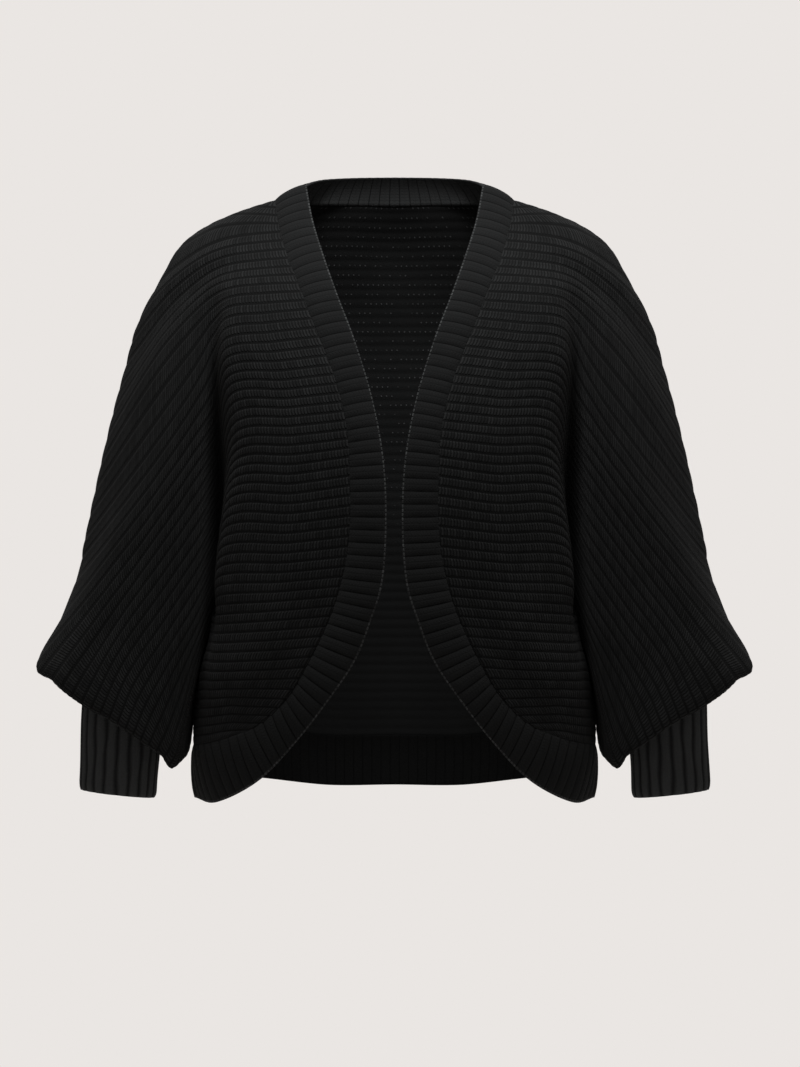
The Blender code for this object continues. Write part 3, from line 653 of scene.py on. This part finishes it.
def make_front_band(name, front, back, materials):
    """The band up one front, round the back of the neck and down the other front."""
    places = band_places(front, back)
    frames = [band_frame(front, back, p) for p in places]
    seams, outs, edges = (np.array(v) for v in zip(*frames))
    along = np.gradient(both_halves(seams), axis=0)[len(seams) - 1 :]
    across = unit(np.cross(along, outs))
    across *= np.sign(np.sum(across * (edges - seams), axis=1, keepdims=True))
    starts = seams + across * BAND_GAP
    share = np.append(np.linspace(0, 1 - EDGE_SHARE, BAND_FACES), 1)[:, None]
    base = starts[:, None] + (edges - starts)[:, None] * share
    along = np.gradient(both_halves(base), axis=0)[len(base) - 1 :]
    normal = unit(np.cross(along, (edges - starts)[:, None]))
    normal *= np.sign(np.sum(normal * outs[:, None], axis=-1, keepdims=True))
    base[-1, :, 1] = np.minimum(base[-1, :, 1], SIDE_Y - SEAM_GAP / 2)
    return make_ribbing(name, base, normal, BAND_CROWN, materials)


def make_hem_band(name, back, materials):
    """The band along the back's lower edge, from side seam to side seam."""
    lines = np.linspace(0, back.lines - 1, HEM_TRIES)
    seam, _ = back.surface(LAST_RIB, lines)
    walked = np.concatenate([[0], np.cumsum(lengths(np.diff(seam, axis=0))[:, 0])])
    ribs = round(walked[-1] / HEM_RIB_WIDTH)
    at = np.interp(np.linspace(0, walked[-1], BAND_ROWS * ribs + 1), walked, lines)
    seam, out = back.surface(LAST_RIB, at)
    seam[:, 1] = np.maximum(seam[:, 1], SIDE_Y + SEAM_GAP / 2)
    share = np.linspace(0, 1, BAND_FACES + 1)
    drop = np.array([0, 0, -1]) * (SEAM_GAP + HEM_HEIGHT * share)[:, None]
    base = seam[:, None] + drop - out[:, None] * (HEM_TUCK * share**2)[:, None]
    outs = np.repeat(out[:, None], len(share), axis=1)
    return make_ribbing(name, base, outs, HEM_CROWN, materials)


def make_cuff(name, side, materials):
    """A tube of upright ribs, flattened from front to back, that hangs from the end of the sleeve."""
    steps = CUFF_RIBS * BAND_ROWS
    angle = (2 * np.pi * np.arange(steps) / steps)[:, None]
    level = np.linspace(0, 1, CUFF_LEVELS + 1)[None, :]
    turn = 0.5 - 0.5 * np.cos(angle)
    top = CUFF_SEAM_OUTER + (CUFF_SEAM_INNER - CUFF_SEAM_OUTER) * turn + CUFF_TUCK
    end = CUFF_END_OUTER + (CUFF_END_INNER - CUFF_END_OUTER) * turn
    z = top + (end - top) * level
    drawn = np.clip((level - CUFF_DRAWN) / (1 - CUFF_DRAWN), 0, 1)
    size = 1 - CUFF_DRAW * drawn**2 + CUFF_SWELL * np.sin(level * CUFF_SWELLS + side)
    number = np.arange(steps)[:, None] / BAND_ROWS
    sink = np.clip(np.minimum(level, 1 + CUFF_PAST - level) * CUFF_SINK, 0, 1) ** 0.5
    height = BAND_RIB * ridge(number, CUFF_RIB_POWER) * sink
    angle = angle + 2 * np.pi / CUFF_RIBS * waver(z, 2 * np.cos(angle), CUFF_WAVER)

    def ring(grow):
        x = side * (CUFF_X + CUFF_LEAN * level + (CUFF_WIDTH / 2 * size + grow) * np.cos(angle))
        y = SIDE_Y + (CUFF_DEPTH / 2 * size + grow) * np.sin(angle)
        return np.stack([x, y, z], axis=-1)

    outer, inner = ring(height - SEAM_GAP), ring(-KNIT_WALL)
    outs = unit(outer - inner)
    u = arc(outer) / BAND_STITCH
    v = np.arange(steps + 1) / BAND_ROWS
    return make_shell(name, outer, inner, outs, u, v, materials, closed=True)


class Pattern:
    """Builds the nodes of one knit material. Each method takes and gives sockets or numbers."""

    def __init__(self, name):
        self.material = bpy.data.materials.new(name)
        self.material.use_nodes = True
        self.tree = self.material.node_tree
        self.shader = self.tree.nodes["Principled BSDF"]

    def put(self, value, socket):
        """Links value to socket if it is a socket, or else sets it there."""
        if isinstance(value, bpy.types.NodeSocket):
            self.tree.links.new(value, socket)
        else:
            socket.default_value = value

    def math(self, operation, a, b=0.0):
        node = self.tree.nodes.new("ShaderNodeMath")
        node.operation = operation
        self.put(a, node.inputs[0])
        self.put(b, node.inputs[1])
        return node.outputs[0]

    def stitch_count(self):
        """How many stitches along the ribs and how many ribs down a point lies."""
        node = self.tree.nodes.new("ShaderNodeUVMap")
        node.uv_map = "stitches"
        split = self.tree.nodes.new("ShaderNodeSeparateXYZ")
        self.tree.links.new(node.outputs[0], split.inputs[0])
        return split.outputs[0], split.outputs[1]

    def height(self):
        """The height of a point in the space of the object, in metres."""
        place = self.tree.nodes.new("ShaderNodeTexCoord")
        split = self.tree.nodes.new("ShaderNodeSeparateXYZ")
        self.tree.links.new(place.outputs["Object"], split.inputs[0])
        return split.outputs["Z"]

    def noise(self, scale, detail):
        """A noise in the space of the object, with scale in lumps per metre."""
        place = self.tree.nodes.new("ShaderNodeTexCoord")
        node = self.tree.nodes.new("ShaderNodeTexNoise")
        node.inputs["Scale"].default_value = scale
        node.inputs["Detail"].default_value = detail
        self.tree.links.new(place.outputs["Object"], node.inputs["Vector"])
        return node.outputs["Fac"]

    def chance(self, u, v):
        """A value from 0 to 1 that differs from stitch to stitch."""
        join = self.tree.nodes.new("ShaderNodeCombineXYZ")
        self.put(self.math("FLOOR", u), join.inputs[0])
        self.put(self.math("FLOOR", v), join.inputs[1])
        node = self.tree.nodes.new("ShaderNodeTexWhiteNoise")
        node.noise_dimensions = "2D"
        self.tree.links.new(join.outputs[0], node.inputs["Vector"])
        return node.outputs["Value"]

    def from_middle(self, value):
        """0 in the middle of each whole step of value and 1 at its ends."""
        share = self.math("SUBTRACT", self.math("FRACT", value), 0.5)
        return self.math("MULTIPLY", self.math("ABSOLUTE", share), 2.0)

    def rise(self, value, start, end):
        """0 where value is at start or before it and 1 where it is at end or past it, with a soft step."""
        node = self.tree.nodes.new("ShaderNodeMapRange")
        node.interpolation_type = "SMOOTHSTEP"
        self.put(value, node.inputs["Value"])
        node.inputs["From Min"].default_value = start
        node.inputs["From Max"].default_value = end
        return node.outputs["Result"]

    def between(self, low, high, share):
        """A value on the way from low to high, which are numbers."""
        return self.math("ADD", low, self.math("MULTIPLY", high - low, share))


def body_stitches(pattern, u, v):
    """One row of upright loops on each rib, with painted shade in a narrow groove between the ribs."""
    off = pattern.from_middle(v)
    row = pattern.rise(off, *BODY_ROW)
    lean = pattern.math("ADD", u, pattern.math("MULTIPLY", off, LOOP_LEAN))
    loop = pattern.rise(pattern.from_middle(lean), *BODY_LOOP)
    lit = pattern.math("MULTIPLY", loop, pattern.between(*LOOP_CHANCES, pattern.chance(lean, v)))
    tone = pattern.math("MULTIPLY", row, pattern.between(*LOOP_TONES, lit))
    tone = pattern.math("ADD", PLAIN_TONE, tone)
    # Painted shade: the colour darkens in the groove between the ribs
    groove = pattern.between(1.0, PAINTED_GROOVE_SHADE, pattern.rise(off, *BODY_SHADED_GROOVE))
    return pattern.math("MULTIPLY", row, loop), pattern.math("MULTIPLY", tone, groove)


def purl_bumps(pattern, u, v):
    """Smooth cloth with one row of small bright bumps to a rib, a few of which are sunk."""
    u = pattern.math("MULTIPLY", u, STITCH / PURL_STEP)
    across = pattern.math("MULTIPLY", pattern.from_middle(v), PURL_ACROSS)
    along = pattern.math("MULTIPLY", pattern.from_middle(u), PURL_ALONG)
    across = pattern.math("MULTIPLY", across, across)
    along = pattern.math("MULTIPLY", along, along)
    reach = pattern.math("ADD", across, along)
    bump = pattern.rise(reach, *PURL_BUMP)
    showing = pattern.rise(pattern.chance(u, v), *PURL_CHANCES)
    # Painted light: the bumps and their bright tone fade out lower down, so the inside is lighter towards
    # the top
    painted_light_above = pattern.rise(pattern.height(), *PURL_PAINTED_LIGHT_HEIGHTS)
    bump = pattern.math("MULTIPLY", bump, pattern.math("MULTIPLY", showing, painted_light_above))
    return bump, pattern.between(1.0, PURL_TONE, bump)


def band_stitches(pattern, u, v):
    """Fine plain stitches on smooth broad ribs, with painted shade in a narrow groove between the ribs."""
    leg = pattern.from_middle(pattern.math("MULTIPLY", v, BAND_WALES))
    slant = pattern.math("ADD", u, pattern.math("MULTIPLY", leg, STITCH_LEAN))
    loop = pattern.rise(pattern.from_middle(slant), *BAND_LOOP)
    height = pattern.math("MULTIPLY", loop, pattern.rise(leg, *BAND_LEG))
    # Painted shade: the colour darkens in the groove between the ribs
    groove = pattern.between(1.0, PAINTED_BAND_GROOVE_SHADE, pattern.rise(pattern.from_middle(v), *BAND_SHADED_GROOVE))
    tone = pattern.math("MULTIPLY", pattern.between(*BAND_TONES, height), groove)
    return pattern.math("MULTIPLY", height, BAND_RELIEF), tone


def cuff_stitches(pattern, u, v):
    """Soft upright ribs with painted shade that deepens slowly into the grooves between them."""
    height, _ = band_stitches(pattern, u, v)
    # Painted shade: the tone falls slowly from the ribs into the grooves
    groove = pattern.rise(pattern.from_middle(v), *CUFF_SHADED_GROOVE)
    return height, pattern.between(*CUFF_PAINTED_SHADE_TONES, groove)


def edge_beads(pattern, u, v):
    """A row of small bright loops, EDGE_LOOPS to a rib."""
    place = pattern.math("MULTIPLY", v, EDGE_LOOPS)
    loop = pattern.rise(pattern.from_middle(place), *EDGE_LOOP)
    tone = pattern.between(EDGE_GAP_TONE, 1.0, loop)
    lit = pattern.between(*EDGE_CHANCES, pattern.chance(place, 0.0))
    return loop, pattern.math("MULTIPLY", tone, lit)


def knit(name, stitches):
    """A matt wool knit. stitches gives the height and the tone of its loops."""
    shade, depth = KNITS[name]
    pattern = Pattern(name)
    height, tone = stitches(pattern, *pattern.stitch_count())
    fuzz = pattern.noise(*FUZZ_NOISE)
    tone = pattern.math("MULTIPLY", tone, pattern.between(*FUZZ_TONES, fuzz))
    mottle = pattern.between(*MOTTLE_TONES, pattern.noise(*MOTTLE_NOISE))
    tone = pattern.math("MULTIPLY", tone, mottle)
    colour = pattern.tree.nodes.new("ShaderNodeCombineColor")
    for channel, tint in zip(colour.inputs, TINT):
        pattern.put(pattern.math("MULTIPLY", tone, shade * tint), channel)
    pattern.tree.links.new(colour.outputs[0], pattern.shader.inputs["Base Color"])
    bump = pattern.tree.nodes.new("ShaderNodeBump")
    bump.inputs["Strength"].default_value = 1.0
    bump.inputs["Distance"].default_value = depth * MM
    pattern.put(pattern.math("ADD", height, pattern.math("MULTIPLY", fuzz, FUZZ)), bump.inputs["Height"])
    pattern.tree.links.new(bump.outputs["Normal"], pattern.shader.inputs["Normal"])
    for socket, value in WOOL.items():
        pattern.shader.inputs[socket].default_value = value
    return pattern.material


def make_camera():
    data = bpy.data.cameras.new("camera")
    data.sensor_fit = "HORIZONTAL"
    data.sensor_width = SENSOR
    data.lens = SENSOR * -CAMERA_PLACE[1] / VIEW_WIDTH
    camera = bpy.data.objects.new("camera", data)
    camera.location = CAMERA_PLACE
    camera.rotation_euler = (np.pi / 2, 0, 0)
    bpy.context.scene.collection.objects.link(camera)
    bpy.context.scene.camera = camera


def make_light(name, place, target, size, power):
    data = bpy.data.lights.new(name, "AREA")
    data.shape = "RECTANGLE"
    data.size, data.size_y = size
    data.energy = power
    light = bpy.data.objects.new(name, data)
    light.location = place
    aim = Vector(target) - Vector(place)
    light.rotation_euler = aim.to_track_quat("-Z", "Y").to_euler()
    bpy.context.scene.collection.objects.link(light)


def make_floor():
    bpy.ops.mesh.primitive_circle_add(vertices=FLOOR_CORNERS, radius=FLOOR_RADIUS, fill_type="NGON")
    floor = bpy.context.object
    floor.location.z = FLOOR_Z
    floor.name = "floor"
    material = bpy.data.materials.new("floor")
    material.use_nodes = True
    shader = material.node_tree.nodes["Principled BSDF"]
    shader.inputs["Base Color"].default_value = FLOOR_COLOUR
    shader.inputs["Roughness"].default_value = FLOOR_ROUGHNESS
    floor.data.materials.append(material)


def make_backdrop():
    """A pale light from all round that is weaker from below and from behind the camera, and stronger from
    above."""
    world = bpy.data.worlds.new("studio")
    world.use_nodes = True
    nodes, links = world.node_tree.nodes, world.node_tree.links
    background = nodes["Background"]
    background.inputs["Color"].default_value = BACKDROP
    direction = nodes.new("ShaderNodeSeparateXYZ")
    links.new(nodes.new("ShaderNodeTexCoord").outputs["Generated"], direction.inputs[0])
    total = nodes.new("ShaderNodeValue")
    total.outputs[0].default_value = 1.0
    for axis, start, end, change in WORLD_FADES:
        fade = nodes.new("ShaderNodeMapRange")
        fade.inputs["From Min"].default_value = start
        fade.inputs["From Max"].default_value = end
        fade.inputs["To Max"].default_value = change
        links.new(direction.outputs[axis], fade.inputs["Value"])
        add = nodes.new("ShaderNodeMath")
        links.new(total.outputs[0], add.inputs[0])
        links.new(fade.outputs["Result"], add.inputs[1])
        total = add
    links.new(total.outputs[0], background.inputs["Strength"])
    bpy.context.scene.world = world


def make_studio():
    make_camera()
    make_backdrop()
    for light in LIGHTS:
        make_light(*light)
    make_floor()
    bpy.context.scene.view_settings.view_transform = "Standard"


def make_cardigan():
    """The piece that stands for each node of the frame."""
    body = knit("body_knit", body_stitches)
    lining = knit("body_knit_inside", purl_bumps)
    band = knit("band_knit", band_stitches)
    # Painted light on the front band's inside and on the cuffs, painted shade on the hem band's inside: lit
    # and shaded copies of one wool
    neck_lining_painted_light = knit("neck_band_inside_painted_light", band_stitches)
    hem_lining_painted_shade = knit("hem_band_inside_painted_shade", band_stitches)
    cuff = knit("cuff_knit", cuff_stitches)
    thread = knit("band_edge", edge_beads)
    front, back = Panel(back=False), Panel(back=True)
    return {
        "back": make_panel("back_knit", back, BACK_CREASES, (body, lining)),
        "front_left": make_panel("front_left_knit", front, FRONT_CREASES, (body, lining)),
        "front_right": make_panel("front_right_knit", front, FRONT_CREASES, (body, lining), side=-1),
        "front_band": make_front_band("front_band_knit", front, back, (band, neck_lining_painted_light, thread)),
        "hem_band": make_hem_band("hem_band_knit", back, (band, hem_lining_painted_shade)),
        "cuff_left": make_cuff("cuff_left_knit", 1, (cuff, cuff)),
        "cuff_right": make_cuff("cuff_right_knit", -1, (cuff, cuff)),
    }


def main():
    make_studio()
    for node, piece in make_cardigan().items():
        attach(piece, "root")
        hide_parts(node)


main()
